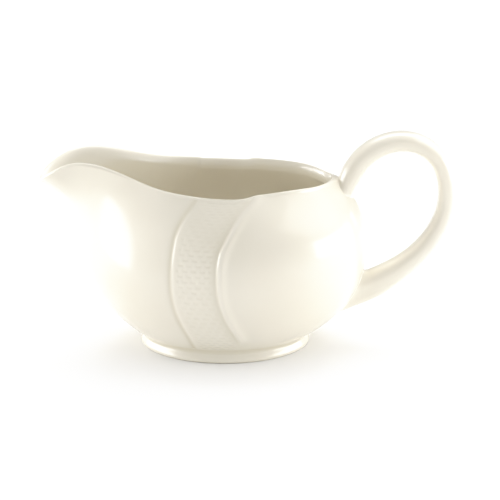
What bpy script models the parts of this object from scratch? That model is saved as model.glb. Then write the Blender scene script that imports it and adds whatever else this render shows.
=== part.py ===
"""Porcelain gravy boat: bowl with a pouring spout, oval foot ring, loop handle and two slip joints.

Metres, +Z up.  The origin is on the table under the middle of the boat's length.  The spout points
to -X and the handle to +X, and the boat is the same on both sides of the XZ plane.
"""
from collections import namedtuple

import bpy
import numpy as np
from mathutils import Vector
from mathutils.bvhtree import BVHTree

# ---------------------------------------------------------------- driving dimensions
GAP = 0.0003                 # clearance between pieces that touch
CURVED_GAP = 0.00035         # the same clearance, off the bowl's curved side

# Level sections of the bowl's outside, from its base up to the shoulder.  "height" is the share of
# the way up.  Each section has a handle end, a side and a spout end, each with its own z.  "lift"
# raises it halfway between side and spout, "taper" narrows it towards the handle, and "beak" pulls
# it in towards the spout.
Section = namedtuple("Section", "height handle_x handle_z side_y side_z spout_x spout_z "
                                "middle_x lift taper beak")
SECTIONS = (
    Section(0.00, 0.0290, 0.0055, 0.0325, 0.0055, -0.0545, 0.0055, -0.0125, 0.0000, 1.00, 0.00),
    Section(0.18, 0.0453, 0.0170, 0.0405, 0.0160, -0.0695, 0.0185, -0.0125, 0.0000, 1.00, 0.00),
    Section(0.42, 0.0573, 0.0400, 0.0480, 0.0400, -0.0822, 0.0410, -0.0125, 0.0000, 1.00, 0.10),
    Section(0.64, 0.0574, 0.0620, 0.0465, 0.0620, -0.0852, 0.0620, -0.0130, 0.0010, 1.05, 0.45),
    Section(0.82, 0.0521, 0.0745, 0.0412, 0.0750, -0.0911, 0.0743, -0.0145, 0.0075, 1.25, 0.80),
)
BEAK_TIP = 0.45              # share of a beak's width that gathers at its root
BEAK_POWER = 6               # how suddenly it widens there

# The rim's outer edge, from the handle end round one side to the spout's tip.  "turn" is the share
# of that half way round, and z is the top of the lip.
RimPoint = namedtuple("RimPoint", "turn x half_width z")
RIM = (
    RimPoint(0.000, 0.0448, 0.0000, 0.0859),
    RimPoint(0.100, 0.0380, 0.0119, 0.0856),
    RimPoint(0.230, 0.0260, 0.0239, 0.0862),
    RimPoint(0.350, 0.0080, 0.0318, 0.0858),
    RimPoint(0.500, -0.0160, 0.0362, 0.0854),
    RimPoint(0.605, -0.0400, 0.0323, 0.0876),
    RimPoint(0.710, -0.0580, 0.0239, 0.0923),
    RimPoint(0.785, -0.0760, 0.0182, 0.0970),
    RimPoint(0.840, -0.0880, 0.0149, 0.0964),
    RimPoint(0.900, -0.0975, 0.0124, 0.0918),
    RimPoint(0.950, -0.1024, 0.0078, 0.0882),
    RimPoint(1.000, -0.1045, 0.0000, 0.0854),
)
LIP_HEIGHT = 0.0015          # how far the rounded lip stands above the wall's edges
LIP_THICKNESS = 0.0030
WALL_THICKNESS = 0.0040      # at the base; it thins towards the lip
LEVEL_FROM = 0.75            # height share above which the wall is measured more and more level
FLOOR_START = 0.16           # height share where the inner wall starts to curve into the floor
FLOOR_Z = 0.0100
FLOOR_CURVE = (0.9, 1.6)     # how long the wall's and the floor's directions last in that curve
UNDERSIDE_RISE = 0.0008      # the underside is slightly domed inside the foot ring
DOME_EDGE = 0.75             # share of the base where the dome ends

# Foot ring: an ellipse swept with a small profile of points (outward from the ellipse, z)
FOOT_CENTRE_X = -0.0125
FOOT_HALF_LENGTH = 0.0425
FOOT_HALF_WIDTH = 0.0350
FOOT_TOP_Z = SECTIONS[0].side_z - GAP
FOOT_PROFILE = (
    (-0.0012, 0.0000), (-0.0003, 0.0003), (0.0000, 0.0012), (-0.0004, 0.0026), (-0.0013, 0.0040),
    (-0.0018, FOOT_TOP_Z), (-0.0068, FOOT_TOP_Z), (-0.0056, 0.0022), (-0.0046, 0.0005),
    (-0.0036, 0.0000),
)

# Handle centre line in the XZ plane, from the upper joint over the top and down to the lower one.
# The thickness is measured in the plane of the loop.
LinePoint = namedtuple("LinePoint", "x z thickness")
HANDLE_LINE = (
    LinePoint(0.0475, 0.0810, 0.0115),
    LinePoint(0.0538, 0.0930, 0.0109),
    LinePoint(0.0660, 0.1021, 0.0105),
    LinePoint(0.0796, 0.1034, 0.0099),
    LinePoint(0.0911, 0.0967, 0.0095),
    LinePoint(0.0976, 0.0797, 0.0096),
    LinePoint(0.0950, 0.0625, 0.0100),
    LinePoint(0.0852, 0.0472, 0.0105),
    LinePoint(0.0720, 0.0362, 0.0125),
    LinePoint(0.0590, 0.0284, 0.0158),
)
HANDLE_WIDTH = 0.0130        # across the loop
HANDLE_ROUNDNESS = 2.4       # superellipse power of its section; 2 is an ellipse
UPPER_END = 0.055            # share of the centre line where the handle proper starts
LOWER_END = 0.962            # share where it ends

# Where each slip joint sits on the bowl, and how strongly it flares out onto it
Seat = namedtuple("Seat", "z half_height half_width flare")
UPPER_SEAT = Seat(0.0797, 0.0045, 0.0082, 0.35)
LOWER_SEAT = Seat(0.0250, 0.0122, 0.0090, 0.30)
SEAT_RINGS = (1.0, 0.66, 0.33)
JOINT_LEAVE = 1.2            # how long a joint keeps the handle's direction

# Mesh fineness
AROUND = 72
CROWDING = 0.06              # how much the bowl's columns crowd together at its two ends
OUTER_ROWS = 18
INNER_ROWS = 13
LIP_ROWS = 4
FLOOR_ROWS = 5
UNDERSIDE_RINGS = (0.3, 0.6, DOME_EDGE, 0.97)
HANDLE_RINGS = 40
HANDLE_SIDES = 16
JOINT_ROWS = 6
SMOOTH_BELOW = np.radians(50)
SMALL_STEP = 1e-4            # step used to measure a direction on a curve or surface

CREAM = (0.80, 0.75, 0.62)
GLAZE_ROUGHNESS = 0.12
JOINT_ROUGHNESS = 0.14
FOOT_ROUGHNESS = 0.18


# ---------------------------------------------------------------- curves and surfaces
def spline_through(knots, values):
    """Natural cubic spline through values, one row for each knot.  Returns a function of a place,
    or of a list of places."""
    knots = np.asarray(knots, float)
    values = np.asarray(values, float)
    count = len(knots)
    rows = (-1,) + (1,) * (values.ndim - 1)
    step = np.diff(knots)
    slope = np.diff(values, axis=0) / step.reshape(rows)
    matrix = np.eye(count)
    target = np.zeros(values.shape)
    for i in range(1, count - 1):
        matrix[i, i - 1:i + 2] = (step[i - 1], 2 * (step[i - 1] + step[i]), step[i])
        target[i] = 6 * (slope[i] - slope[i - 1])
    bend = np.linalg.solve(matrix, target.reshape(count, -1)).reshape(values.shape)

    def evaluate(places):
        places = np.asarray(places, float)
        left = np.clip(np.searchsorted(knots, places) - 1, 0, count - 2)
        shape = rows if places.ndim else ()
        width = step[left].reshape(shape)
        to_end = (knots[left + 1] - places).reshape(shape)
        from_start = (places - knots[left]).reshape(shape)
        curved = (bend[left] * to_end ** 3 + bend[left + 1] * from_start ** 3) / (6 * width)
        start = values[left] / width - bend[left] * width / 6
        end = values[left + 1] / width - bend[left + 1] * width / 6
        return curved + start * to_end + end * from_start

    return evaluate


def hermite(start, end, start_slope, end_slope, shares):
    """Rows of points that run from start to end, leaving and arriving with the given slopes."""
    rows = []
    for s in shares:
        rows.append(start * (2 * s ** 3 - 3 * s ** 2 + 1) + start_slope * (s ** 3 - 2 * s ** 2 + s)
                    + end * (3 * s ** 2 - 2 * s ** 3) + end_slope * (s ** 3 - s ** 2))
    return rows


def unit(vectors):
    return vectors / np.linalg.norm(vectors, axis=-1, keepdims=True)


def section_curve(section, turn):
    """Points of one level section.  turn runs 0..1 from the handle round one side to the spout,
    and 1..2 back along the other side."""
    cosine = np.cos(np.pi * turn)
    sine = np.abs(np.sin(np.pi * turn))
    at_handle = cosine >= 0
    reach = np.where(at_handle, section.handle_x - section.middle_x, section.middle_x - section.spout_x)
    pinched = (1 - BEAK_TIP) * sine + BEAK_TIP * sine ** BEAK_POWER
    beaked = (1 - section.beak) * sine + section.beak * pinched
    width = section.side_y * np.where(at_handle, sine ** section.taper, beaked)
    side = np.where(np.mod(turn, 2) <= 1, -1.0, 1.0)
    end_z = np.where(at_handle, section.handle_z, section.spout_z)
    lift = np.where(at_handle, 0.0, section.lift) * (2 * cosine * sine) ** 2
    z = section.side_z + (end_z - section.side_z) * cosine ** 2 + lift
    return np.stack([section.middle_x + reach * cosine, width * side, z], axis=-1)


def rim_curve(turn):
    """Points of the rim's outer edge, with z at the top of the lip."""
    knots = np.array([point.turn for point in RIM])
    half = np.array([(point.x, -point.half_width, point.z) for point in RIM])
    mirror = half * (1, -1, 1)
    # four more points past each end keep the curve smooth over the mid plane
    knots = np.concatenate([-knots[4:0:-1], knots, 2 - knots[-2:-6:-1]])
    points = np.concatenate([mirror[4:0:-1], half, mirror[-2:-6:-1]])
    turn = np.mod(turn, 2)
    far_side = turn > 1
    curve = spline_through(knots, points)(np.where(far_side, 2 - turn, turn))
    curve[:, 1] *= np.where(far_side, -1, 1)
    return curve


def outer_surface(turn, height):
    """One row of points of the bowl's outside, at a share of its height."""
    edge = rim_curve(turn) - (0, 0, LIP_HEIGHT)
    levels = [section_curve(section, turn) for section in SECTIONS] + [edge]
    knots = [section.height for section in SECTIONS] + [1.0]
    return spline_through(knots, levels)(height)


def inner_surface(turn, height):
    """One row of the bowl's inside: its outside moved in by the wall's thickness."""
    along = outer_surface(turn + SMALL_STEP, height) - outer_surface(turn - SMALL_STEP, height)
    above = outer_surface(turn, min(height + SMALL_STEP, 1))
    below = outer_surface(turn, max(height - SMALL_STEP, 0))
    outward = unit(np.cross(above - below, along))
    # near the lip the wall is measured level, so that the lip's two edges are equally high
    level = max(0, (height - LEVEL_FROM) / (1 - LEVEL_FROM))
    outward = unit(outward * (1, 1, 1 - level))
    thickness = WALL_THICKNESS + (LIP_THICKNESS - WALL_THICKNESS) * height ** 3
    return outer_surface(turn, height) - outward * thickness


def handle_section(share):
    """A ring round the handle at a share of its centre line, with its centre and heading."""
    steps = np.linalg.norm(np.diff(np.array(HANDLE_LINE)[:, :2], axis=0), axis=1)
    knots = np.concatenate([[0], np.cumsum(steps)]) / steps.sum()
    line = spline_through(knots, HANDLE_LINE)
    x, z, thickness = line(share)
    ahead = line(share + SMALL_STEP) - line(share - SMALL_STEP)
    heading = unit(np.array((ahead[0], 0, ahead[1])))
    outward = np.array((-heading[2], 0, heading[0]))
    sideways = np.array((0, -1, 0))
    centre = np.array((x, 0, z))
    angle = 2 * np.pi * np.arange(HANDLE_SIDES) / HANDLE_SIDES
    power = 2 / HANDLE_ROUNDNESS
    across = np.sign(np.cos(angle)) * np.abs(np.cos(angle)) ** power * thickness / 2
    aside = np.sign(np.sin(angle)) * np.abs(np.sin(angle)) ** power * HANDLE_WIDTH / 2
    ring = centre + across[:, None] * outward + aside[:, None] * sideways
    return ring, centre, heading


# ---------------------------------------------------------------- pieces
def loft(name, rings, start=None, end=None):
    """A closed object through rings of equal length.  It closes on the middle points start and end
    or, without them, the last ring joins the first."""
    count = len(rings[0])
    points = [tuple(point) for ring in rings for point in ring]
    pairs = [(i, i + 1) for i in range(len(rings) - 1)]
    if start is None:
        pairs.append((len(rings) - 1, 0))
    faces = []
    for low, high in pairs:
        for i in range(count):
            j = (i + 1) % count
            faces.append((low * count + i, low * count + j, high * count + j, high * count + i))
    if start is not None:
        points += [tuple(start), tuple(end)]
        last = (len(rings) - 1) * count
        for i in range(count):
            j = (i + 1) % count
            faces.append((len(points) - 2, j, i))
            faces.append((len(points) - 1, last + i, last + j))
    mesh = bpy.data.meshes.new(name)
    mesh.from_pydata(points, [], faces)
    mesh.shade_smooth()
    mesh.set_sharp_from_angle(angle=SMOOTH_BELOW)
    part = bpy.data.objects.new(name, mesh)
    bpy.context.scene.collection.objects.link(part)
    return part


def porcelain(part, roughness):
    material = bpy.data.materials.new(part.name + "_porcelain")
    material.use_nodes = True
    shader = material.node_tree.nodes["Principled BSDF"]
    shader.inputs["Base Color"].default_value = (*CREAM, 1)
    shader.inputs["Roughness"].default_value = roughness
    shader.inputs["Metallic"].default_value = 0
    part.data.materials.append(material)


def make_bowl():
    """The shell, from the middle of its underside up the outside, over the lip and down inside."""
    turn = 2 - 2 * np.arange(AROUND) / AROUND
    turn -= CROWDING * np.sin(2 * np.pi * turn) / np.pi
    base = outer_surface(turn, 0)
    middle = np.array((FOOT_CENTRE_X, 0, SECTIONS[0].side_z))
    rings = []
    for share in UNDERSIDE_RINGS:
        rise = UNDERSIDE_RISE * max(0, 1 - (share / DOME_EDGE) ** 2)
        rings.append(middle + (base - middle) * share + (0, 0, rise))
    rings += [outer_surface(turn, height) for height in np.linspace(0, 1, OUTER_ROWS + 1)]
    inside = [inner_surface(turn, height) for height in np.linspace(1, FLOOR_START, INNER_ROWS + 1)]
    lip_middle = (rings[-1] + inside[0]) / 2
    lip_half = inside[0] - lip_middle
    for angle in np.pi * np.arange(1, LIP_ROWS) / LIP_ROWS:
        rings.append(lip_middle - lip_half * np.cos(angle) + (0, 0, LIP_HEIGHT * np.sin(angle)))
    rings += inside
    # the wall curves into a level floor
    edge = inside[-1]
    floor = np.array((FOOT_CENTRE_X, 0, FLOOR_Z))
    run = np.linalg.norm(edge - floor, axis=-1, keepdims=True)
    down = unit(inner_surface(turn, FLOOR_START - SMALL_STEP) - edge) * run
    level = (floor - edge) * (1, 1, 0)
    shares = np.linspace(0, 1, FLOOR_ROWS + 1)[1:-1]
    rings += hermite(edge, floor, down * FLOOR_CURVE[0], level * FLOOR_CURVE[1], shares)
    return loft("bowl", rings, middle + (0, 0, UNDERSIDE_RISE), floor)


def make_foot_ring():
    turn = 2 * np.pi * np.arange(AROUND) / AROUND
    rings = []
    for outward, z in FOOT_PROFILE:
        x = FOOT_CENTRE_X + (FOOT_HALF_LENGTH + outward) * np.cos(turn)
        y = (FOOT_HALF_WIDTH + outward) * np.sin(turn)
        rings.append(np.stack([x, y, np.full(AROUND, z)], axis=-1))
    return loft("foot_ring", rings)


def make_handle():
    sections = [handle_section(share) for share in np.linspace(UPPER_END, LOWER_END, HANDLE_RINGS)]
    rings = [ring for ring, _, _ in sections]
    return loft("handle", rings, sections[0][1], sections[-1][1])


def make_handle_joint(name, bowl_tree, share, into_bowl, seat):
    """A flared piece of slip between the handle's end ring and its seat on the bowl.  into_bowl is
    1 where the handle's heading runs into the bowl, and -1 where it runs out of it."""
    def on_bowl(y, z):
        start = Vector((1, y, z))
        place, normal, _, _ = bowl_tree.ray_cast(start, Vector((-1, 0, 0)))
        return np.array(place + normal * CURVED_GAP)

    ring, centre, heading = handle_section(share)
    towards = heading * into_bowl
    ring = ring + towards * GAP
    centre = centre + towards * GAP
    outward = ring - centre
    up = np.linalg.norm(outward[:, (0, 2)], axis=-1) * np.sign(outward[:, 2])
    ellipse = unit(np.stack([outward[:, 1] / HANDLE_WIDTH, up / up.max() / 2], axis=-1))
    seats = []
    for scale in SEAT_RINGS:
        seats.append(np.array([on_bowl(y * seat.half_width * scale, seat.z + z * seat.half_height * scale)
                               for y, z in ellipse]))
    length = np.linalg.norm(seats[0] - ring, axis=-1, keepdims=True)
    leave = towards * length * JOINT_LEAVE
    arrive = unit(seats[0] - seats[1]) * length * seat.flare
    rings = hermite(ring, seats[0], leave, arrive, np.linspace(0, 1, JOINT_ROWS + 1)) + seats[1:]
    middle = on_bowl(0, seat.z)
    if into_bowl > 0:
        return loft(name, rings, centre, middle)
    return loft(name, rings[::-1], middle, centre)


# ---------------------------------------------------------------- the assembly
for old in list(bpy.data.objects):
    bpy.data.objects.remove(old, do_unlink=True)

bowl = make_bowl()
bowl_tree = BVHTree.FromPolygons([vertex.co for vertex in bowl.data.vertices],
                                 [polygon.vertices for polygon in bowl.data.polygons])
foot_ring = make_foot_ring()
handle = make_handle()
upper_joint = make_handle_joint("upper_handle_joint", bowl_tree, UPPER_END, -1, UPPER_SEAT)
lower_joint = make_handle_joint("lower_handle_joint", bowl_tree, LOWER_END, 1, LOWER_SEAT)

porcelain(bowl, GLAZE_ROUGHNESS)
porcelain(handle, GLAZE_ROUGHNESS)
porcelain(upper_joint, JOINT_ROUGHNESS)
porcelain(lower_joint, JOINT_ROUGHNESS)
porcelain(foot_ring, FOOT_ROUGHNESS)
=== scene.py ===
"""Looks of the porcelain gravy boat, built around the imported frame.

Metres, +Z up, the same frame as the CAD: spout towards -X, handle towards +X, table at Z = 0.  Each
CAD solid is replaced by a finer mesh of the same form, with the relief, the glaze and the joints
drawn out.
"""

from collections import namedtuple

import bpy
import numpy as np
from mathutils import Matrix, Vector
from mathutils.bvhtree import BVHTree


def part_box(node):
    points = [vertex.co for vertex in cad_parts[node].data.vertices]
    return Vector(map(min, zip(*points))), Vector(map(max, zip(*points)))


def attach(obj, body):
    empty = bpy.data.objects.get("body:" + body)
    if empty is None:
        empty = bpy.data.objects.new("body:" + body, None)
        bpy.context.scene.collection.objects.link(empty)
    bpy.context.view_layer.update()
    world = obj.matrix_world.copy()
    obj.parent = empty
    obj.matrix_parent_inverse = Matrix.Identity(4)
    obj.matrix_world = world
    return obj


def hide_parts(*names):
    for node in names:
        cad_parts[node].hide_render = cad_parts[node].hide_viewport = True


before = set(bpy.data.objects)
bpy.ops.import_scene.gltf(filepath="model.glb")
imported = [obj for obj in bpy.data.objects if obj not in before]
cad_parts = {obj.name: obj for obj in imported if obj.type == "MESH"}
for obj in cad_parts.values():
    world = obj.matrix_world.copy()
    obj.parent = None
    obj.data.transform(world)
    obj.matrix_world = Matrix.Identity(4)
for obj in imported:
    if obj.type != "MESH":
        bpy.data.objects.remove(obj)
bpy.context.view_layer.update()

# ---------------------------------------------------------------- the bowl's form
# Level sections of the bowl's outside, from its base up to the shoulder.  "height" is the share of
# the way up.  Each section has a handle end, a side and a spout end, each with its own z.  "lift"
# raises it halfway between side and spout, "taper" narrows it towards the handle, and "beak" pulls
# it in towards the spout.
Section = namedtuple("Section", "height handle_x handle_z side_y side_z spout_x spout_z "
                                "middle_x lift taper beak")
SECTIONS = (
    Section(0.00, 0.0290, 0.0055, 0.0325, 0.0055, -0.0545, 0.0055, -0.0125, 0.0000, 1.00, 0.00),
    Section(0.18, 0.0453, 0.0170, 0.0405, 0.0160, -0.0695, 0.0185, -0.0125, 0.0000, 1.00, 0.00),
    Section(0.42, 0.0573, 0.0400, 0.0480, 0.0400, -0.0822, 0.0410, -0.0125, 0.0000, 1.00, 0.10),
    Section(0.64, 0.0574, 0.0620, 0.0465, 0.0620, -0.0852, 0.0620, -0.0130, 0.0010, 1.05, 0.45),
    Section(0.82, 0.0521, 0.0745, 0.0412, 0.0750, -0.0911, 0.0743, -0.0145, 0.0075, 1.25, 0.80),
)
BEAK_TIP = 0.45              # share of a beak's width that gathers at its root
BEAK_POWER = 6               # how suddenly it widens there

# The rim's outer edge, from the handle end round one side to the spout's tip.  "turn" is the share
# of that half way round, and z is the top of the lip.
RimPoint = namedtuple("RimPoint", "turn x half_width z")
RIM = (
    RimPoint(0.000, 0.0448, 0.0000, 0.0859),
    RimPoint(0.100, 0.0380, 0.0119, 0.0856),
    RimPoint(0.230, 0.0260, 0.0239, 0.0862),
    RimPoint(0.350, 0.0080, 0.0318, 0.0858),
    RimPoint(0.500, -0.0160, 0.0362, 0.0854),
    RimPoint(0.605, -0.0400, 0.0323, 0.0876),
    RimPoint(0.710, -0.0580, 0.0239, 0.0923),
    RimPoint(0.785, -0.0760, 0.0182, 0.0970),
    RimPoint(0.840, -0.0880, 0.0149, 0.0964),
    RimPoint(0.900, -0.0975, 0.0124, 0.0918),
    RimPoint(0.950, -0.1024, 0.0078, 0.0882),
    RimPoint(1.000, -0.1045, 0.0000, 0.0854),
)
LIP_HEIGHT = 0.0015          # how far the rounded lip stands above the wall's outer edge
LIP_CREST = 0.0010           # how far inside that edge it is highest
LIP_FOOT = 0.92              # height share where the lip's long inner roll runs into the wall
LIP_ROUNDNESS = 1.5          # how long the roll keeps its directions; a circle's arc has 1.6
LIP_THICKNESS = 0.0038
WALL_THICKNESS = 0.0040      # at the base; it thins towards the lip
THINNING = 3                 # power of the height share that it thins with
END_SHIFT = 0.0036           # by the handle the inside ends this much short, so the lip is thick
END_REACH = 0.140            # over this share of the way round
END_FROM = 0.60              # and from this height share up
END_CREST = 0.0034           # there the crest moves in, and the lip is a broad slope outside it
END_CREST_REACH = 0.090
END_CORNER_SHADE = 0.9               # glaze pools in the corner between that slope and the handle; its darker colour there also paints the shade cast by the handle and the rim
END_CORNER_SHADE_REACH = 0.035
LEVEL_FROM = 0.75            # height share above which the wall is measured more and more level
FLOOR_START = 0.16           # height share where the inner wall starts to curve into the floor
FLOOR_Z = 0.0100
FLOOR_CURVE = (0.9, 1.6)     # how long the wall's and the floor's directions last in that curve
UNDERSIDE_RISE = 0.0008      # the underside is slightly domed inside the foot ring
DOME_EDGE = 0.75             # share of the base where the dome ends

# ---------------------------------------------------------------- the relief on the bowl's sides
# Two raised edges run down each side.  "leaf" is the edge of the smooth leaf on the handle's side,
# and "band" is the edge of the woven band where it laps over the spout's leaf.  Each is a list of
# (height share, turn).
LEAF_LINE = ((0.00, 0.448), (0.10, 0.454), (0.20, 0.475), (0.30, 0.499), (0.40, 0.513), (0.50, 0.516),
             (0.60, 0.511), (0.70, 0.493), (0.80, 0.469), (0.90, 0.442), (1.00, 0.398))
BAND_LINE = ((0.00, 0.600), (0.10, 0.595), (0.20, 0.598), (0.30, 0.609), (0.40, 0.6145), (0.50, 0.6145),
             (0.60, 0.6085), (0.70, 0.594), (0.80, 0.572), (0.90, 0.553), (1.00, 0.537))
# A form that runs beside an edge: how far it stands out of the wall, how far its middle is from
# the edge, and its half width
Roll = namedtuple("Roll", "rise at width")
LEAF_SOFTNESS = 0.00075      # half width over which the leaf's edge rises
LEAF_ROLL = Roll(0.00070, 0.0021, 0.0020)
LEAF_VALLEY = Roll(-0.00012, 0.0058, 0.0024)
LEAF_RAISE = 0.00020         # the leaf's raised part fades away behind its rolled edge
LEAF_FADE = 0.0120
LEAF_FOOT = (0.06, 0.20)     # height shares over which the leaf's edge fades in above the foot
LEAF_TOP = (0.66, 0.92)      # and over which it grows fainter towards the rim
LEAF_TOP_LOSS = 0.60
BAND_SINK = 0.00050          # the band sinks towards the leaf's edge
BAND_FADE = 0.0035
BAND_SOFTNESS = 0.00080      # half width over which the band's edge rises
BAND_ROLL = Roll(0.00004, 0.0012, 0.0010)
BAND_CROWN = Roll(0.00003, 0.0026, 0.0026)
BAND_TOP = (0.70, 0.95)
BAND_TOP_LOSS = 0.35
SPOUT_SINK = 0.00014         # the spout's leaf sinks towards the band's edge
SPOUT_FADE = 0.0070
SPOUT_GROOVE = Roll(-0.00021, -0.0014, 0.0014)
LEAST_SQUARE = 0.1           # floor of the correction where an edge runs nearly level

# The depth of the glaze's pooling beside the two edges, on a scale from -1 (thinnest) to 1.  Its
# colours
# also paint light: the darker pooled colour paints the shadow that the leaf's raised edge casts and
# the shade in the band's groove, and the lighter colour paints highlights along both edges.  In these
# rolls "rise" is that depth.
# painted shadow: the leaf's raised edge shades the band beside it, painted as pooled glaze
LEAF_SHADOW_POOL = 0.9
LEAF_SHADOW_POWER = 1.5        # how suddenly it shallows away from the leaf's edge
# painted highlight on the leaf's rolled edge, as thinly run glaze
LEAF_EDGE_HIGHLIGHT = Roll(-0.5, 0.0014, 0.0009)
# painted shade in the groove before the band's edge, and a painted highlight on that edge
BAND_GROOVE_SHADE = Roll(0.9, -0.0014, 0.0011)
BAND_EDGE_HIGHLIGHT = Roll(-0.3, 0.0005, 0.0006)

# The rim steps where the leaves and the band meet it: (rise, inward shift, half width of the step)
# of the leaf over the band, and of the band over the spout's leaf.
RIM_STEP_LEAF = (0.00048, 0.00070, 0.0030)
RIM_STEP_BAND = (-0.00016, 0.00042, 0.0008)
RIM_STEP_FADE = 0.0150       # how far along the rim a step dies away
RIM_STEP_FROM = 0.80         # height share where the wall starts to follow it

# The weave: rows of short pits, each row set off by half a pit from the next
WEAVE_ROWS = 38              # from foot to rim
WEAVE_ACROSS = 5             # pits in a row
WEAVE_DEPTH = 0.00017
WEAVE_VARIES = (0.55, 1.10)  # share of that depth from one pit to another
WEAVE_SEED = 4
WEAVE_LENGTH = 0.62          # share of the pitch that a pit fills along its row
WEAVE_SOFTNESS = 0.10        # share of the pitch over which its ends fade
WEAVE_STRAND = (0.25, 0.50)  # shares of the pitch from a pit's middle where the next strand rises
WEAVE_BULGE = 0.35           # how far the strand between two pits stands out, as a share of the depth
WEAVE_ROUND = (0.0, 0.55, 1.0, 0.75, 0.25, 0.0)  # depth share of each mesh row of one row of pits
WEAVE_CLEAR = (0.0011, 0.0033)  # distances from either edge over which the weave fades in
WEAVE_PIT_SHADE = 0.25            # depth of the glaze in a pit; its darker colour also paints the shade in the pits, and the lighter colour on the strands between them a highlight
WEAVE_TOP = (0.55, 0.88)     # height shares over which it grows fainter towards the rim
WEAVE_TOP_LOSS = 0.55

# ---------------------------------------------------------------- foot, handle and joints
# The foot ring's section from its inner wall, under the sole and up its outside: (distance outward
# from the CAD ring's outline, z)
FOOT_INNER = ((-0.0068, 0.0051), (-0.0062, 0.0036), (-0.0056, 0.0022), (-0.0050, 0.0010),
              (-0.0044, 0.0003))
FOOT_SOLE = ((-0.0036, 0.0), (-0.0024, 0.0), (-0.0012, 0.0))
FOOT_WALL = ((-0.0006, 0.0002), (-0.0002, 0.0006), (0.0000, 0.0012), (-0.0001, 0.0019),
             (-0.0004, 0.0027), (-0.0008, 0.0035), (-0.0012, 0.0042))
FOOT_FILLET_HEIGHT = 0.035   # height share on the bowl where the foot's fillet dies away
FOOT_FILLET_STEP = 0.01      # height share over which the bowl's slope there is measured
FOOT_FILLET_CURVE = 0.9      # how long the fillet keeps its two directions
FOOT_SINK = 0.0001           # its edge ends just under the bowl's glaze
FOOT_TOP_DEPTH = 0.0012      # the ring's hidden top is inside the bowl's wall: this far in,
FOOT_TOP_DROP = 0.0004       # this far down,
FOOT_TOP_INNER = (-0.0060, 0.0062)  # and back to here

# The handle's centre line, from the rim over the top and down to the belly
LinePoint = namedtuple("LinePoint", "x z thickness")
HANDLE_LINE = (
    LinePoint(0.0475, 0.0810, 0.0115),
    LinePoint(0.0538, 0.0930, 0.0109),
    LinePoint(0.0660, 0.1021, 0.0105),
    LinePoint(0.0796, 0.1034, 0.0099),
    LinePoint(0.0911, 0.0967, 0.0095),
    LinePoint(0.0976, 0.0797, 0.0096),
    LinePoint(0.0950, 0.0625, 0.0100),
    LinePoint(0.0852, 0.0472, 0.0105),
    LinePoint(0.0720, 0.0362, 0.0125),
    LinePoint(0.0590, 0.0284, 0.0158),
)
HANDLE_WIDTH = 0.0130        # across the loop
HANDLE_ROUNDNESS = 2.4       # superellipse power of its section; 2 is an ellipse
UPPER_END = 0.055            # share of the centre line where the handle proper starts
LOWER_END = 0.962            # share where it ends
# Where each slip joint sits on the bowl: the middle of its seat, how far the seat leans back from
# upright, its half sizes, and how strongly the joint flares out at its bottom and at its top
Seat = namedtuple("Seat", "x z tilt half_height half_width flare top_flare")
UPPER_SEAT = Seat(0.0481, 0.0806, np.radians(38), 0.0065, 0.0072, 0.50, 0.10)
LOWER_SEAT = Seat(0.0480, 0.0250, 0.0, 0.0122, 0.0088, 0.35, 0.45)
SEAT_RINGS = (1.0, 0.8, 0.5, 0.25)  # sizes of the rings that close a joint inside the bowl's wall
SEAT_RAY_START = 0.05        # the rays that find the bowl start this far in front of the seat
SEAT_SINK = 0.00012          # a joint's edge ends just under the bowl's glaze
SEAT_DEPTH = 0.0008          # and its hidden end a little deeper
JOINT_LEAVE = 1.1            # how long a joint keeps the handle's direction
JOINT_CROWDING = 1.3         # its rows crowd together at the handle

# ---------------------------------------------------------------- mesh fineness
LEAF_COLUMNS = 56            # on each side, from the handle's end to the leaf's edge
BAND_COLUMNS = 55            # across the band
SPOUT_COLUMNS = 50           # from the band's edge to the spout's tip
CROWD_REACH = 0.16           # share over which columns crowd towards an edge
CROWD_SAMPLES = 500          # steps in which that is worked out
LEAF_CROWDING = (0.5, 0.13)  # a column's width at the start and the end, as a share of the middle's
BAND_CROWDING = (0.7, 0.45)
SPOUT_CROWDING = (0.15, 0.4)
ROWS_PER_WEAVE = 6
OUTER_ROWS = WEAVE_ROWS * ROWS_PER_WEAVE
INNER_ROWS = 34
CREST_ROWS = 5
ROLL_ROWS = 12
FLOOR_ROWS = 8
UNDERSIDE_RINGS = (0.3, 0.55, DOME_EDGE, 0.9, 0.97)
FOOT_SIDES = 200
FOOT_FILLET_ROWS = 7
HANDLE_RINGS = 180
HANDLE_SIDES = 56
JOINT_ROWS = 26
SMOOTH_BELOW = np.radians(50)  # edges sharper than this stay sharp
NEUTRAL_POOL_AND_LIGHT = 0.5                # the attribute's value where the glaze is even and no shade or highlight is painted; it is 0..1
SMALL_STEP = 1e-4            # step used to measure a direction on a curve or surface


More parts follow.
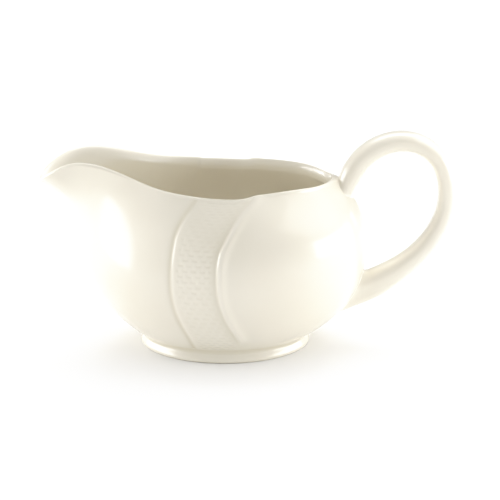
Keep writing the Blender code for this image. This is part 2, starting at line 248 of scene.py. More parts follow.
# ---------------------------------------------------------------- curves and surfaces
def spline_through(knots, values):
    """Natural cubic spline through values, one row for each knot.  Returns a function of a place,
    or of a list of places."""
    knots = np.asarray(knots, float)
    values = np.asarray(values, float)
    count = len(knots)
    rows = (-1,) + (1,) * (values.ndim - 1)
    step = np.diff(knots)
    slope = np.diff(values, axis=0) / step.reshape(rows)
    matrix = np.eye(count)
    target = np.zeros(values.shape)
    for i in range(1, count - 1):
        matrix[i, i - 1:i + 2] = (step[i - 1], 2 * (step[i - 1] + step[i]), step[i])
        target[i] = 6 * (slope[i] - slope[i - 1])
    bend = np.linalg.solve(matrix, target.reshape(count, -1)).reshape(values.shape)

    def evaluate(places):
        places = np.asarray(places, float)
        left = np.clip(np.searchsorted(knots, places) - 1, 0, count - 2)
        shape = rows if places.ndim else ()
        width = step[left].reshape(shape)
        to_end = (knots[left + 1] - places).reshape(shape)
        from_start = (places - knots[left]).reshape(shape)
        curved = (bend[left] * to_end ** 3 + bend[left + 1] * from_start ** 3) / (6 * width)
        start = values[left] / width - bend[left] * width / 6
        end = values[left + 1] / width - bend[left + 1] * width / 6
        return curved + start * to_end + end * from_start

    return evaluate


def hermite(start, end, start_slope, end_slope, shares):
    """Rows of points that run from start to end, leaving and arriving with the given slopes."""
    rows = []
    for s in shares:
        rows.append(start * (2 * s ** 3 - 3 * s ** 2 + 1) + start_slope * (s ** 3 - 2 * s ** 2 + s)
                    + end * (3 * s ** 2 - 2 * s ** 3) + end_slope * (s ** 3 - s ** 2))
    return rows


def unit(vectors):
    return vectors / np.linalg.norm(vectors, axis=-1, keepdims=True)


def smooth(low, high, value):
    """0 below low and 1 above high, with a smooth rise between them."""
    share = np.clip((value - low) / (high - low), 0, 1)
    return share * share * (3 - 2 * share)


def hump(distance, width):
    """1 at distance 0, falling away on both sides."""
    return np.exp(-(distance / width) ** 2)


def section_curve(section, turn):
    """Points of one level section.  turn runs 0..1 from the handle round one side to the spout,
    and 1..2 back along the other side."""
    cosine = np.cos(np.pi * turn)
    sine = np.abs(np.sin(np.pi * turn))
    at_handle = cosine >= 0
    reach = np.where(at_handle, section.handle_x - section.middle_x, section.middle_x - section.spout_x)
    pinched = (1 - BEAK_TIP) * sine + BEAK_TIP * sine ** BEAK_POWER
    beaked = (1 - section.beak) * sine + section.beak * pinched
    width = section.side_y * np.where(at_handle, sine ** section.taper, beaked)
    side = np.where(np.mod(turn, 2) <= 1, -1.0, 1.0)
    end_z = np.where(at_handle, section.handle_z, section.spout_z)
    lift = np.where(at_handle, 0.0, section.lift) * (2 * cosine * sine) ** 2
    z = section.side_z + (end_z - section.side_z) * cosine ** 2 + lift
    return np.stack([section.middle_x + reach * cosine, width * side, z], axis=-1)


def rim_curve(turn):
    """Points of the rim's outer edge, with z at the top of the lip."""
    knots = np.array([point.turn for point in RIM])
    half = np.array([(point.x, -point.half_width, point.z) for point in RIM])
    mirror = half * (1, -1, 1)
    # four more points past each end keep the curve smooth over the mid plane
    knots = np.concatenate([-knots[4:0:-1], knots, 2 - knots[-2:-6:-1]])
    points = np.concatenate([mirror[4:0:-1], half, mirror[-2:-6:-1]])
    turn = np.mod(turn, 2)
    far_side = turn > 1
    curve = spline_through(knots, points)(np.where(far_side, 2 - turn, turn))
    curve[:, 1] *= np.where(far_side, -1, 1)
    return curve


def outer_surface(turn, height):
    """One row of points of the smooth bowl's outside, at a share of its height."""
    edge = rim_curve(turn) - (0, 0, LIP_HEIGHT)
    levels = [section_curve(section, turn) for section in SECTIONS] + [edge]
    knots = [section.height for section in SECTIONS] + [1.0]
    return spline_through(knots, levels)(height)


def surface_directions(turn, height):
    """The bowl's outward normal, and its directions along a level row and up the wall."""
    along = outer_surface(turn + SMALL_STEP, height) - outer_surface(turn - SMALL_STEP, height)
    above = outer_surface(turn, min(height + SMALL_STEP, 1))
    below = outer_surface(turn, max(height - SMALL_STEP, 0))
    return unit(np.cross(above - below, along)), along, above - below


def from_handle_end(turn):
    """Share of the way round the bowl from its handle's end, whichever side it is on."""
    return np.minimum(np.mod(turn, 2), 2 - np.mod(turn, 2))


def inner_surface(turn, height):
    """One row of the bowl's inside: its outside moved in by the wall's thickness."""
    outward = surface_directions(turn, height)[0]
    # near the lip the wall is measured level, so that the lip's two edges are equally high
    level = max(0, (height - LEVEL_FROM) / (1 - LEVEL_FROM))
    outward = unit(outward * (1, 1, 1 - level))
    thickness = WALL_THICKNESS + (LIP_THICKNESS - WALL_THICKNESS) * height ** THINNING
    points = outer_surface(turn, height) - outward * thickness
    shift = END_SHIFT * smooth(END_FROM, LIP_FOOT, height)
    points[:, 0] -= shift * hump(from_handle_end(turn), END_REACH)
    return points


# ---------------------------------------------------------------- the bowl's columns and relief
def crowd(count, at_start, at_end):
    """Shares from 0 to 1, whose steps shrink towards the ends to these parts of the middle's."""
    place = np.linspace(0, 1, CROWD_SAMPLES)
    size = (1 - (1 - at_start) * np.exp(-place / CROWD_REACH)
            - (1 - at_end) * np.exp(-(1 - place) / CROWD_REACH))
    total = np.concatenate([[0], np.cumsum(1 / size[1:] + 1 / size[:-1])])
    return np.interp(np.linspace(0, total[-1], count + 1), total, place)


leaf_turn = spline_through(*zip(*LEAF_LINE))
band_turn = spline_through(*zip(*BAND_LINE))
leaf_shares = crowd(LEAF_COLUMNS, *LEAF_CROWDING)
band_shares = crowd(BAND_COLUMNS, *BAND_CROWDING)
spout_shares = crowd(SPOUT_COLUMNS, *SPOUT_CROWDING)


def half_turns(height):
    """Turns of the columns on one side, from the handle's end up to the spout's tip.  They follow
    the two relief lines, so that an edge always lies on a column."""
    leaf = leaf_turn(height)
    band = band_turn(height)
    return np.concatenate([leaf * leaf_shares[:-1],
                           leaf + (band - leaf) * band_shares[:-1],
                           band + (1 - band) * spout_shares])


def whole_row(half):
    """A row all the way round, from the values on one side, which the other side shares."""
    return np.concatenate([half, half[-2:0:-1]])


def row_turns(height):
    """Turns of a whole row.  They run downwards, so that a loft's faces look outwards."""
    half = half_turns(height)
    return np.concatenate([2 - half[:-1], half[:0:-1]])


def edge_distances(half, height):
    """Distances over the surface from the leaf's edge and from the band's edge, each positive
    towards the handle, and measured square to the edge."""
    points = outer_surface(half, height)
    steps = np.linalg.norm(np.diff(points, axis=0), axis=1)
    place = np.concatenate([[0], np.cumsum(steps)])
    distances = []
    for line, column in ((leaf_turn, LEAF_COLUMNS), (band_turn, LEAF_COLUMNS + BAND_COLUMNS)):
        low = max(height - SMALL_STEP, 0)
        high = min(height + SMALL_STEP, 1)
        ends = [outer_surface(np.array([line(h)]), h)[0] for h in (low, high)]
        downhill = unit(ends[1] - ends[0])
        level = unit(points[column + 1] - points[column - 1])
        square = np.sqrt(max(LEAST_SQUARE, 1 - np.dot(downhill, level) ** 2))
        distances.append((place[column] - place) * square)
    return distances


weave_random = np.random.default_rng(WEAVE_SEED)
pit_depths = weave_random.uniform(*WEAVE_VARIES, (WEAVE_ROWS + 1, WEAVE_ACROSS + 1))


def weave(height, height_row, to_leaf, to_band):
    """Depth share of the woven pits at one row of the mesh.  It is below 0 on the strands."""
    across = np.zeros(len(to_leaf))
    across[LEAF_COLUMNS:LEAF_COLUMNS + BAND_COLUMNS + 1] = band_shares
    weave_row, step = divmod(height_row, ROWS_PER_WEAVE)
    place = across * WEAVE_ACROSS + 0.5 * (weave_row % 2)
    pit = np.minimum(place.astype(int), WEAVE_ACROSS)
    from_middle = np.abs(place - pit - 0.5)
    pit_end = WEAVE_LENGTH / 2
    depth = smooth(pit_end + WEAVE_SOFTNESS, pit_end - WEAVE_SOFTNESS, from_middle)
    depth = depth * pit_depths[weave_row, pit] - WEAVE_BULGE * smooth(*WEAVE_STRAND, from_middle)
    inside = smooth(*WEAVE_CLEAR, -to_leaf) * smooth(*WEAVE_CLEAR, to_band)
    return WEAVE_ROUND[step] * depth * inside * (1 - WEAVE_TOP_LOSS * smooth(*WEAVE_TOP, height))


def stand(distance, roll):
    """How far a roll stands out at a distance from its edge."""
    return roll.rise * hump(distance - roll.at, roll.width)


def relief(half, height, height_row):
    """How far one row stands out of the smooth bowl, and the depth of the glaze's pooling on it, from
    -1 to 1.  That depth's colours also paint shade and shadow beside the edges and in the pits, and
    highlights on the edges and strands."""
    to_leaf, to_band = edge_distances(half, height)
    on_leaf = (1 + np.tanh(to_leaf / LEAF_SOFTNESS)) / 2
    raised = stand(to_leaf, LEAF_ROLL) + stand(to_leaf, LEAF_VALLEY)
    raised += LEAF_RAISE * np.exp(-np.clip(to_leaf, 0, None) / LEAF_FADE)
    beside_leaf = np.exp(np.clip(to_leaf, None, 0) / BAND_FADE)
    leaf_edge = on_leaf * raised - (1 - on_leaf) * BAND_SINK * beside_leaf
    leaf_strength = smooth(*LEAF_FOOT, height) * (1 - LEAF_TOP_LOSS * smooth(*LEAF_TOP, height))

    on_band = (1 + np.tanh(to_band / BAND_SOFTNESS)) / 2
    beside_band = np.exp(np.clip(to_band, None, 0) / SPOUT_FADE)
    band_edge = on_band * (stand(to_band, BAND_ROLL) + stand(to_band, BAND_CROWN))
    band_edge += (1 - on_band) * (stand(to_band, SPOUT_GROOVE) - SPOUT_SINK * beside_band)
    band_strength = 1 - BAND_TOP_LOSS * smooth(*BAND_TOP, height)

    pits = weave(height, height_row, to_leaf, to_band)
    out = leaf_strength * leaf_edge + band_strength * band_edge - WEAVE_DEPTH * pits
    # these pooled and lighter colours are painted: the leaf's shadow on the band, the highlight on its
    # roll, the shade in the band's groove and the highlight on its edge
    leaf_shadow_pool = LEAF_SHADOW_POOL * (1 - on_leaf) * beside_leaf ** LEAF_SHADOW_POWER
    pool_and_painted_light = leaf_strength * (leaf_shadow_pool + stand(to_leaf, LEAF_EDGE_HIGHLIGHT))
    pool_and_painted_light += band_strength * (stand(to_band, BAND_GROOVE_SHADE) + stand(to_band, BAND_EDGE_HIGHLIGHT))
    return out, np.clip(pool_and_painted_light + WEAVE_PIT_SHADE * pits, -1, 1)


def follow_rim(points, turn, height):
    """Moves one row of points up and inward with the steps in the rim."""
    share = smooth(RIM_STEP_FROM, 1, height)
    half = half_turns(height)
    rise = np.zeros(len(half))
    inward = np.zeros(len(half))
    for distance, (step_rise, step_inward, width) in zip(edge_distances(half, 1.0),
                                                         (RIM_STEP_LEAF, RIM_STEP_BAND)):
        step = np.tanh(distance / width) * np.exp(-np.abs(distance) / RIM_STEP_FADE)
        rise += step_rise * step * share
        inward += step_inward * step * share
    level = unit(surface_directions(turn, height)[0] * (1, 1, 0))
    points = points - level * whole_row(inward)[:, None]
    points[:, 2] += whole_row(rise)
    return points


# ---------------------------------------------------------------- meshes
def loft(name, rings, start, end, glaze=None, bare=()):
    """A closed piece through rings of equal length, shaded smooth, that closes on the middle points
    start and end.  Without them, the last ring joins the first.  glaze holds one row of glaze depths
    for each ring, which also carry painted shade and painted highlights, and bare lists the spans
    between rings that have the second material."""
    count = len(rings[0])
    points = np.concatenate(rings)
    spans = [(i, i + 1) for i in range(len(rings) - 1)]
    if start is None:
        spans.append((len(rings) - 1, 0))
    near = np.arange(count)
    far = np.roll(near, -1)
    quads = [np.stack([a * count + near, a * count + far, b * count + far, b * count + near], axis=1)
             for a, b in spans]
    faces = [tuple(face) for face in np.concatenate(quads).tolist()]
    marks = np.repeat([1 if i in bare else 0 for i in range(len(spans))], count).tolist()
    if start is not None:
        last = (len(rings) - 1) * count
        points = np.concatenate([points, [start, end]])
        faces += [(len(points) - 2, j, i) for i, j in zip(near.tolist(), far.tolist())]
        faces += [(len(points) - 1, last + i, last + j) for i, j in zip(near.tolist(), far.tolist())]
        marks += [0] * (2 * count)
    mesh = bpy.data.meshes.new(name)
    mesh.from_pydata(points.tolist(), [], faces)
    mesh.polygons.foreach_set("material_index", marks)
    mesh.shade_smooth()
    mesh.set_sharp_from_angle(angle=SMOOTH_BELOW)
    if glaze is None:
        glaze = [np.zeros(count)] * len(rings)
    values = np.zeros(len(points))
    values[:len(rings) * count] = np.concatenate(glaze)
    # glaze depth, stored as an attribute, that also carries painted shade and painted highlights
    pool_and_painted_light = mesh.attributes.new("glaze_pool_and_painted_light", "FLOAT", "POINT")
    pool_and_painted_light.data.foreach_set("value", NEUTRAL_POOL_AND_LIGHT + values / 2)
    piece = bpy.data.objects.new(name, mesh)
    bpy.context.scene.collection.objects.link(piece)
    return piece


def make_bowl():
    """The shell, from the middle of its underside up the outside, over the lip and down inside."""
    rings = []
    glaze = []
    base = outer_surface(row_turns(0), 0)
    count = len(base)
    middle = np.array(((SECTIONS[0].handle_x + SECTIONS[0].spout_x) / 2, 0, base[:, 2].mean()))
    for share in UNDERSIDE_RINGS:
        rise = UNDERSIDE_RISE * max(0, 1 - (share / DOME_EDGE) ** 2)
        rings.append(middle + (base - middle) * share + (0, 0, rise))
        glaze.append(np.zeros(count))
    for row, height in enumerate(np.linspace(0, 1, OUTER_ROWS + 1)):
        turn = row_turns(height)
        out, pool_and_painted_light = relief(half_turns(height), height, row)
        outward = surface_directions(turn, height)[0]
        points = outer_surface(turn, height) + outward * whole_row(out)[:, None]
        rings.append(follow_rim(points, turn, height))
        glaze.append(whole_row(pool_and_painted_light))
    inside = []
    for height in np.linspace(LIP_FOOT, FLOOR_START, INNER_ROWS + 1):
        turn = row_turns(height)
        inside.append(follow_rim(inner_surface(turn, height), turn, height))
    # over the lip: a short rounding up to its crest, and a long roll down to the inner wall
    edge = rings[-1]
    inward = unit((inside[0] - edge) * (1, 1, 0))
    from_end = from_handle_end(row_turns(1))
    reach = inward * (LIP_CREST + END_CREST * hump(from_end, END_CREST_REACH))[:, None]
    # near the handle the rows of this rounding take the darker pooled colour: painted shade in the
    # corner under the handle
    for angle in np.pi / 2 * np.arange(1, CREST_ROWS + 1) / CREST_ROWS:
        rings.append(edge + reach * (1 - np.cos(angle)) + (0, 0, LIP_HEIGHT * np.sin(angle)))
        glaze.append(END_CORNER_SHADE * hump(from_end, END_CORNER_SHADE_REACH))
    crest = rings[-1]
    leave = (inside[0] - crest) * (LIP_ROUNDNESS, LIP_ROUNDNESS, 0)
    arrive = unit(inside[1] - inside[0]) * (crest - inside[0])[:, 2:] * LIP_ROUNDNESS
    rings += hermite(crest, inside[0], leave, arrive, np.linspace(0, 1, ROLL_ROWS + 1)[1:-1])
    rings += inside
    # the wall curves into a level floor
    edge = inside[-1]
    floor = np.array((middle[0], 0, FLOOR_Z))
    run = np.linalg.norm(edge - floor, axis=-1, keepdims=True)
    down = unit(edge - inside[-2]) * run
    flat = (floor - edge) * (1, 1, 0)
    shares = np.linspace(0, 1, FLOOR_ROWS + 1)[1:-1]
    rings += hermite(edge, floor, down * FLOOR_CURVE[0], flat * FLOOR_CURVE[1], shares)
    glaze += [np.zeros(count)] * (len(rings) - len(glaze))
    return loft("bowl_shell", rings, middle + (0, 0, UNDERSIDE_RISE), floor, glaze)


def make_foot():
    """The ring from its inner wall under the sole and up its outside, with a fillet onto the bowl."""
    low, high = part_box("foot_ring")
    centre_x = (low.x + high.x) / 2
    half_length = (high.x - low.x) / 2
    half_width = (high.y - low.y) / 2
    turn = 2 - 2 * np.arange(FOOT_SIDES) / FOOT_SIDES
    cosine = np.cos(np.pi * turn)
    sine = -np.sin(np.pi * turn)

    def ring(outward, z):
        return np.stack([centre_x + (half_length + outward) * cosine,
                         (half_width + outward) * sine, np.full(FOOT_SIDES, z)], axis=-1)

    rings = [ring(*point) for point in FOOT_INNER + FOOT_SOLE + FOOT_WALL]
    outward = surface_directions(turn, FOOT_FILLET_HEIGHT)[0]
    top = outer_surface(turn, FOOT_FILLET_HEIGHT) - outward * FOOT_SINK
    higher = outer_surface(turn, FOOT_FILLET_HEIGHT + FOOT_FILLET_STEP)
    climb = unit(higher - outer_surface(turn, FOOT_FILLET_HEIGHT))
    gap = np.linalg.norm(top - rings[-1], axis=-1, keepdims=True)
    length = gap * FOOT_FILLET_CURVE
    leave = unit(rings[-1] - rings[-2]) * length
    shares = np.linspace(0, 1, FOOT_FILLET_ROWS + 1)[1:]
    neutral_pool_and_light = np.zeros(FOOT_SIDES)
    glaze = [neutral_pool_and_light] * len(rings)
    # the fillet rows take the darker pooled colour, most halfway up: pooled glaze, which also paints
    # the shade in the crease between foot and bowl
    glaze += [np.full(FOOT_SIDES, depth) for depth in np.sin(np.pi * shares)]
    rings += hermite(rings[-1], top, leave, climb * length, shares)
    rings.append(top - outward * FOOT_TOP_DEPTH - (0, 0, FOOT_TOP_DROP))
    rings.append(ring(*FOOT_TOP_INNER))
    glaze += [neutral_pool_and_light] * 2
    first_bare = len(FOOT_INNER) - 1
    bare = range(first_bare, first_bare + len(FOOT_SOLE) + 1)
    return loft("foot", rings, None, None, glaze, bare)


handle_steps = np.linalg.norm(np.diff(np.array(HANDLE_LINE)[:, :2], axis=0), axis=1)
handle_knots = np.concatenate([[0], np.cumsum(handle_steps)]) / handle_steps.sum()
handle_line = spline_through(handle_knots, HANDLE_LINE)


def handle_section(share):
    """A ring round the handle at a share of its centre line, with its centre and heading."""
    x, z, thickness = handle_line(share)
    ahead = handle_line(share + SMALL_STEP) - handle_line(share - SMALL_STEP)
    heading = unit(np.array((ahead[0], 0, ahead[1])))
    outward = np.array((-heading[2], 0, heading[0]))
    sideways = np.array((0, -1, 0))
    centre = np.array((x, 0, z))
    angle = 2 * np.pi * np.arange(HANDLE_SIDES) / HANDLE_SIDES
    power = 2 / HANDLE_ROUNDNESS
    across = np.sign(np.cos(angle)) * np.abs(np.cos(angle)) ** power * thickness / 2
    aside = np.sign(np.sin(angle)) * np.abs(np.sin(angle)) ** power * HANDLE_WIDTH / 2
    ring = centre + across[:, None] * outward + aside[:, None] * sideways
    return ring, centre, heading


def make_handle():
    sections = [handle_section(share) for share in np.linspace(UPPER_END, LOWER_END, HANDLE_RINGS)]
    rings = [ring for ring, _, _ in sections]
    return loft("handle_strap", rings, sections[0][1], sections[-1][1])


def make_handle_joint(name, bowl_tree, share, into_bowl, seat):
    """A flared piece of slip between the handle's end ring and its seat on the bowl.  into_bowl is
    1 where the handle's heading runs into the bowl, and -1 where it runs out of it."""
    ring, centre, heading = handle_section(share)
    towards = heading * into_bowl
    inward = np.array((-np.cos(seat.tilt), 0, -np.sin(seat.tilt)))
    upward = np.array((-np.sin(seat.tilt), 0, np.cos(seat.tilt)))
    middle = np.array((seat.x, 0, seat.z))

    def on_bowl(aside, up):
        start = middle + (0, aside, 0) + upward * up - inward * SEAT_RAY_START
        place, normal, _, _ = bowl_tree.ray_cast(Vector(start), Vector(inward))
        return np.array(place), np.array(normal)

    # the handle's own section, squeezed to the seat's size: (aside, up) for each of its points
    outward = ring - centre
    up = np.linalg.norm(outward[:, (0, 2)], axis=-1) * np.sign(outward[:, 2])
    ellipse = unit(np.stack([outward[:, 1] / HANDLE_WIDTH, up / up.max() / 2], axis=-1))
    seats = []
    for scale in SEAT_RINGS:
        found = [on_bowl(aside * seat.half_width * scale, rise * seat.half_height * scale)
                 for aside, rise in ellipse]
        places = np.array([place for place, _ in found])
        normals = np.array([normal for _, normal in found])
        seats.append(places - normals * (SEAT_SINK if scale == 1 else SEAT_DEPTH))
        if scale == 1:
            spread = places - places.mean(axis=0)
            spread = unit(spread - normals * (spread * normals).sum(axis=-1, keepdims=True))
    length = np.linalg.norm(seats[0] - ring, axis=-1, keepdims=True)
    flare = seat.flare + (seat.top_flare - seat.flare) * (1 + ellipse[:, 1:]) / 2
    leave = towards * length * JOINT_LEAVE
    shares = np.linspace(0, 1, JOINT_ROWS + 1) ** JOINT_CROWDING
    rings = hermite(ring, seats[0], leave, spread * length * flare, shares) + seats[1:]
    end = on_bowl(0, 0)[0] + inward * SEAT_DEPTH
    if into_bowl > 0:
        return loft(name, rings, centre, end)
    return loft(name, rings[::-1], end, centre)


# ---------------------------------------------------------------- materials
# the lighter colour of glaze run thinly over edges, which also paints the highlights on raised edges
# and strands
THIN_GLAZE_HIGHLIGHT = (0.82, 0.78, 0.68)
CREAM = (0.79, 0.745, 0.63)
WARM_CREAM = (0.78, 0.73, 0.61)
# the darker colour of pooled glaze, which also paints the shade in grooves, pits, creases and corners
# and the shadow beside the leaf's edge
POOLED_GLAZE_SHADE = (0.67, 0.615, 0.48)
BISQUE = (0.74, 0.68, 0.56)
BISQUE_DARK = (0.60, 0.53, 0.42)
BOWL_ROUGHNESS = 0.36        # of the body under the clear coat of glaze
HANDLE_ROUGHNESS = 0.34
ROUGHNESS_VARIES = (0.9, 1.15)
GLAZE_IOR = 1.6
COAT_IOR = 1.55
COAT_ROUGHNESS = 0.12
# Each kind of unevenness has the scale of its noise, in cells for each metre
CLOUD_SCALE = 28             # slow drift of the body's colour
CLOUD_FROM = (0.35, 0.65)    # noise values over which WARM_CREAM takes over from CREAM
SHEEN_SCALE = 90
RIPPLE_SCALE = 260           # the glaze's fine ripple
RIPPLE_STRENGTH = 0.12
RIPPLE_HEIGHT = 0.0002
SPECK_SCALE = 1500           # specks in the bare sole
SPECK_FROM = (0.55, 0.75)    # noise values over which BISQUE_DARK takes over from BISQUE
DRY_SCALE = 600
DRY_ROUGHNESS = (0.75, 0.95)
GRAIN_SCALE = 2500
GRAIN_STRENGTH = 0.5
GRAIN_HEIGHT = 0.0001


def new_material(name):
    material = bpy.data.materials.new(name)
    material.use_nodes = True
    nodes = material.node_tree.nodes
    return material, nodes, material.node_tree.links, nodes["Principled BSDF"]


def noise(nodes, links, place, scale, detail=2.0):
    texture = nodes.new("ShaderNodeTexNoise")
    texture.inputs["Scale"].default_value = scale
    texture.inputs["Detail"].default_value = detail
    links.new(place.outputs["Object"], texture.inputs["Vector"])
    return texture.outputs["Fac"]


def map_range(nodes, links, value, low, high, from_low=0.0, from_high=1.0):
    """A value stretched from one range to another: from_low becomes low, from_high becomes high."""
    node = nodes.new("ShaderNodeMapRange")
    node.inputs["From Min"].default_value = from_low
    node.inputs["From Max"].default_value = from_high
    node.inputs["To Min"].default_value = low
    node.inputs["To Max"].default_value = high
    links.new(value, node.inputs["Value"])
    return node.outputs["Result"]


def mix_colours(nodes, links, share, first, second):
    node = nodes.new("ShaderNodeMix")
    node.data_type = "RGBA"   # whose sockets are inputs 0, 6 and 7 and output 2
    links.new(share, node.inputs[0])
    for socket, colour in ((node.inputs[6], first), (node.inputs[7], second)):
        if isinstance(colour, tuple):
            socket.default_value = (*colour, 1)
        else:
            links.new(colour, socket)
    return node.outputs[2]


def glazed_porcelain(name, roughness):
    """Cream body under a clear glaze that pools in hollows and runs thinly over edges; the darker
    pooled colour also paints the shade there, and the lighter colour over edges paints a highlight.
    """
    material, nodes, links, shader = new_material(name)
    place = nodes.new("ShaderNodeTexCoord")
    pool_and_painted_light = nodes.new("ShaderNodeAttribute")
    pool_and_painted_light.attribute_name = "glaze_pool_and_painted_light"
    clouds = noise(nodes, links, place, CLOUD_SCALE, 3)
    clouds = map_range(nodes, links, clouds, 0, 1, *CLOUD_FROM)
    body = mix_colours(nodes, links, clouds, CREAM, WARM_CREAM)
    # lighter where the glaze runs thinly and darker where it pools; these colours also paint highlights
    # on edges and shade in hollows, creases and corners
    thinner_and_highlit = map_range(nodes, links, pool_and_painted_light.outputs["Fac"], 1, 0, 0.0, NEUTRAL_POOL_AND_LIGHT)
    body = mix_colours(nodes, links, thinner_and_highlit, body, THIN_GLAZE_HIGHLIGHT)
    pooled_and_shaded = map_range(nodes, links, pool_and_painted_light.outputs["Fac"], 0, 1, NEUTRAL_POOL_AND_LIGHT, 1.0)
    body = mix_colours(nodes, links, pooled_and_shaded, body, POOLED_GLAZE_SHADE)
    links.new(body, shader.inputs["Base Color"])
    low, high = (roughness * share for share in ROUGHNESS_VARIES)
    sheen = map_range(nodes, links, noise(nodes, links, place, SHEEN_SCALE), low, high)
    links.new(sheen, shader.inputs["Roughness"])
    shader.inputs["IOR"].default_value = GLAZE_IOR
    shader.inputs["Coat Weight"].default_value = 1.0
    shader.inputs["Coat IOR"].default_value = COAT_IOR
    shader.inputs["Coat Roughness"].default_value = COAT_ROUGHNESS
    ripple = nodes.new("ShaderNodeBump")
    ripple.inputs["Strength"].default_value = RIPPLE_STRENGTH
    ripple.inputs["Distance"].default_value = RIPPLE_HEIGHT
    links.new(noise(nodes, links, place, RIPPLE_SCALE, 1), ripple.inputs["Height"])
    links.new(ripple.outputs["Normal"], shader.inputs["Normal"])
    return material


def bisque(name):
    """The sole of the foot is wiped clean of glaze before firing: matt, dry and slightly speckled."""
    material, nodes, links, shader = new_material(name)
    place = nodes.new("ShaderNodeTexCoord")
    specks = noise(nodes, links, place, SPECK_SCALE, 3)
    specks = map_range(nodes, links, specks, 0, 1, *SPECK_FROM)
    links.new(mix_colours(nodes, links, specks, BISQUE, BISQUE_DARK), shader.inputs["Base Color"])
    dryness = map_range(nodes, links, noise(nodes, links, place, DRY_SCALE), *DRY_ROUGHNESS)
    links.new(dryness, shader.inputs["Roughness"])
    grain = nodes.new("ShaderNodeBump")
    grain.inputs["Strength"].default_value = GRAIN_STRENGTH
    grain.inputs["Distance"].default_value = GRAIN_HEIGHT
    links.new(noise(nodes, links, place, GRAIN_SCALE), grain.inputs["Height"])
    links.new(grain.outputs["Normal"], shader.inputs["Normal"])
    return material


# ---------------------------------------------------------------- pieces around the frame
bowl = make_bowl()
bowl_tree = BVHTree.FromPolygons([vertex.co for vertex in bowl.data.vertices],
                                 [polygon.vertices for polygon in bowl.data.polygons])
foot = make_foot()
handle = make_handle()
upper_joint = make_handle_joint("upper_slip_joint", bowl_tree, UPPER_END, -1, UPPER_SEAT)
lower_joint = make_handle_joint("lower_slip_joint", bowl_tree, LOWER_END, 1, LOWER_SEAT)

bowl.data.materials.append(glazed_porcelain("bowl_glaze", BOWL_ROUGHNESS))
foot.data.materials.append(glazed_porcelain("foot_glaze", BOWL_ROUGHNESS))
foot.data.materials.append(bisque("foot_bisque"))
handle.data.materials.append(glazed_porcelain("handle_glaze", HANDLE_ROUGHNESS))
joint_glaze = glazed_porcelain("joint_glaze", HANDLE_ROUGHNESS)
upper_joint.data.materials.append(joint_glaze)
lower_joint.data.materials.append(joint_glaze)

for piece, node, slot in ((bowl, "bowl", "bowl_glaze"), (foot, "foot_ring", "foot_glaze"),
                          (handle, "handle", "handle_glaze"),
                          (upper_joint, "upper_handle_joint", "joint_glaze"),
                          (lower_joint, "lower_handle_joint", "joint_glaze")):
    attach(piece, "root")
    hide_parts(node)

# ---------------------------------------------------------------- floor, light and camera
FLOOR_RADIUS = 6.0
FLOOR_SIDES = 96
FLOOR_COLOUR = (0.86, 0.86, 0.86)
FLOOR_ROUGHNESS = 0.9
WHITE_RADIANCE = 1.15        # what the tone curve shows as pure white
# (radiance, brightness shown) between black and white
TONE_CURVE = ((0.30, 0.30), (0.55, 0.55), (0.80, 0.77), (0.95, 0.90), (1.05, 0.97))
DOME_RADIANCE = 1.07
# Its brightness share at heights from the horizon, 0, to straight up, 1
DOME = ((0.0, 0.60), (0.15, 0.46), (0.36, 0.36), (0.60, 0.44), (0.80, 0.85), (1.0, 1.0))
# A rectangular light: it shines from place towards target, and radiance is how bright its face is.
# spread is the angle of its beam, in degrees.
Softbox = namedtuple("Softbox", "name place target width height radiance spread")
SOFTBOXES = (
    Softbox("left_box", (-0.80, 0.03, 0.17), (0.0, 0.03, 0.17), 0.90, 0.34, 5.5, 180),
    Softbox("right_box", (0.80, -0.06, 0.17), (0.0, -0.06, 0.17), 0.90, 0.34, 5.5, 180),
    Softbox("left_floor_lamp", (-0.34, 0.15, 0.24), (-0.34, 0.15, 0.0), 0.20, 0.50, 1.8, 140),
    Softbox("right_floor_lamp", (0.24, 0.05, 0.22), (0.24, 0.05, 0.0), 0.20, 0.50, 1.6, 140),
    Softbox("top_box", (0.0, 0.40, 0.90), (0.0, 0.0, 0.06), 0.90, 0.50, 3.0, 180),
    Softbox("backdrop_lamp", (0.0, 1.80, 1.20), (0.0, 1.50, 0.0), 2.40, 1.20, 1.2, 80),
)
AIM = Vector((0, 0, 0.0475))
CAMERA_ELEVATION = np.radians(18.5)
CAMERA_DISTANCE = 1.050
SENSOR_WIDTH = 36            # millimetres, as is the lens
LENS = 151.2


def make_floor():
    mesh = bpy.data.meshes.new("floor")
    turn = np.linspace(0, 2 * np.pi, FLOOR_SIDES, endpoint=False)
    circle = np.stack([np.cos(turn), np.sin(turn), np.zeros(FLOOR_SIDES)], axis=-1)
    mesh.from_pydata((FLOOR_RADIUS * circle).tolist(), [], [tuple(range(FLOOR_SIDES))])
    floor = bpy.data.objects.new("floor", mesh)
    bpy.context.scene.collection.objects.link(floor)
    material, _, _, shader = new_material("floor_paper")
    shader.inputs["Base Color"].default_value = (*FLOOR_COLOUR, 1)
    shader.inputs["Roughness"].default_value = FLOOR_ROUGHNESS
    mesh.materials.append(material)


def aim(item, target):
    item.rotation_euler = (Vector(target) - item.location).to_track_quat("-Z", "Y").to_euler()


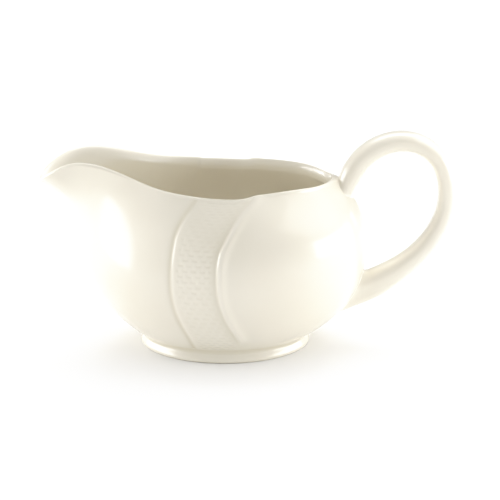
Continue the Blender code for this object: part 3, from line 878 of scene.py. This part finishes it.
def make_softbox(box):
    light = bpy.data.lights.new(box.name, "AREA")
    light.shape = "RECTANGLE"
    light.size = box.width
    light.size_y = box.height
    light.energy = box.radiance * np.pi * box.width * box.height
    light.spread = np.radians(box.spread)
    softbox = bpy.data.objects.new(box.name, light)
    bpy.context.scene.collection.objects.link(softbox)
    softbox.location = box.place
    aim(softbox, box.target)
    softbox.visible_camera = False


def make_world():
    """A dome whose brightness depends only on the height above the horizon."""
    world = bpy.data.worlds.new("studio")
    bpy.context.scene.world = world
    world.use_nodes = True
    nodes = world.node_tree.nodes
    links = world.node_tree.links
    place = nodes.new("ShaderNodeTexCoord")
    split = nodes.new("ShaderNodeSeparateXYZ")
    links.new(place.outputs["Generated"], split.inputs[0])
    ramp = nodes.new("ShaderNodeValToRGB")
    ramp.color_ramp.interpolation = "EASE"
    stops = ramp.color_ramp.elements
    while len(stops) < len(DOME):
        stops.new(0.5)           # it is moved to its place below
    for stop, (height, share) in zip(stops, DOME):
        stop.position = height
        stop.color = (share, share, share, 1)
    links.new(split.outputs["Z"], ramp.inputs["Fac"])
    links.new(ramp.outputs["Color"], nodes["Background"].inputs["Color"])
    nodes["Background"].inputs["Strength"].default_value = DOME_RADIANCE


def use_tone_curve(view):
    """Standard colours, with a shoulder that lets bright glaze run softly into white."""
    view.view_transform = "Standard"
    view.use_curve_mapping = True
    mapping = view.curve_mapping
    mapping.white_level = (WHITE_RADIANCE,) * 3
    curve = mapping.curves[3]    # the one for all three colours together
    curve.points[0].location = (0, 0)
    curve.points[-1].location = (1, 1)
    for radiance, shown in TONE_CURVE:
        curve.points.new(radiance / WHITE_RADIANCE, shown)
    mapping.update()


make_floor()
make_world()
for softbox in SOFTBOXES:
    make_softbox(softbox)

camera_data = bpy.data.cameras.new("camera")
camera_data.sensor_width = SENSOR_WIDTH
camera_data.lens = LENS
camera = bpy.data.objects.new("camera", camera_data)
bpy.context.scene.collection.objects.link(camera)
from_object = Vector((0, -np.cos(CAMERA_ELEVATION), np.sin(CAMERA_ELEVATION)))
camera.location = AIM + CAMERA_DISTANCE * from_object
aim(camera, AIM)
bpy.context.scene.camera = camera
use_tone_curve(bpy.context.scene.view_settings)
